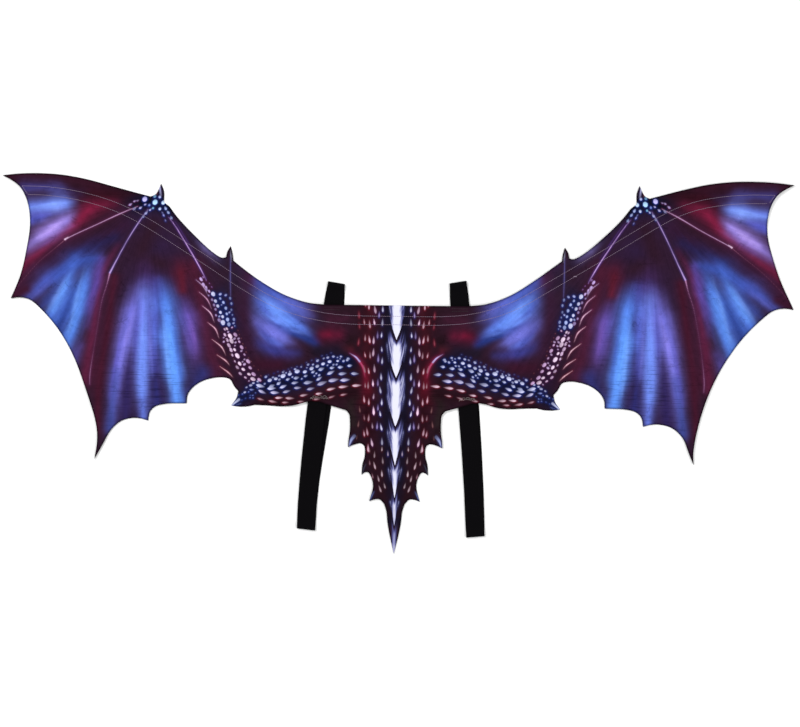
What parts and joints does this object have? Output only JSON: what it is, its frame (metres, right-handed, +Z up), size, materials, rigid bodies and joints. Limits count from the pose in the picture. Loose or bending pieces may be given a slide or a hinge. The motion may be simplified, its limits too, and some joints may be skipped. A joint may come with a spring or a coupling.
{
  "type": "dragon wings",
  "caption": "Costume dragon wings cut from one printed felt sheet, with elastic shoulder straps, lying flat with the print up.",
  "frame": {"origin": "on the surface that the wings lie on, under the middle of their outline's box", "axes": "+X along the span, to the right with the print up and the tail towards the viewer, +Y from the tail to the crest of the wings, +Z up, out of the printed face"},
  "size_m": [1.5007, 0.7126, 0.0072],
  "materials": {
    "printed_felt": "matt",
    "tape": "matt",
    "elastic": "matt"
  },
  "bodies": {
    "root": {"wing_sheet": "printed_felt", "stay_tape": "tape", "left_strap": "elastic", "right_strap": "elastic"}
  },
  "joints": []
}
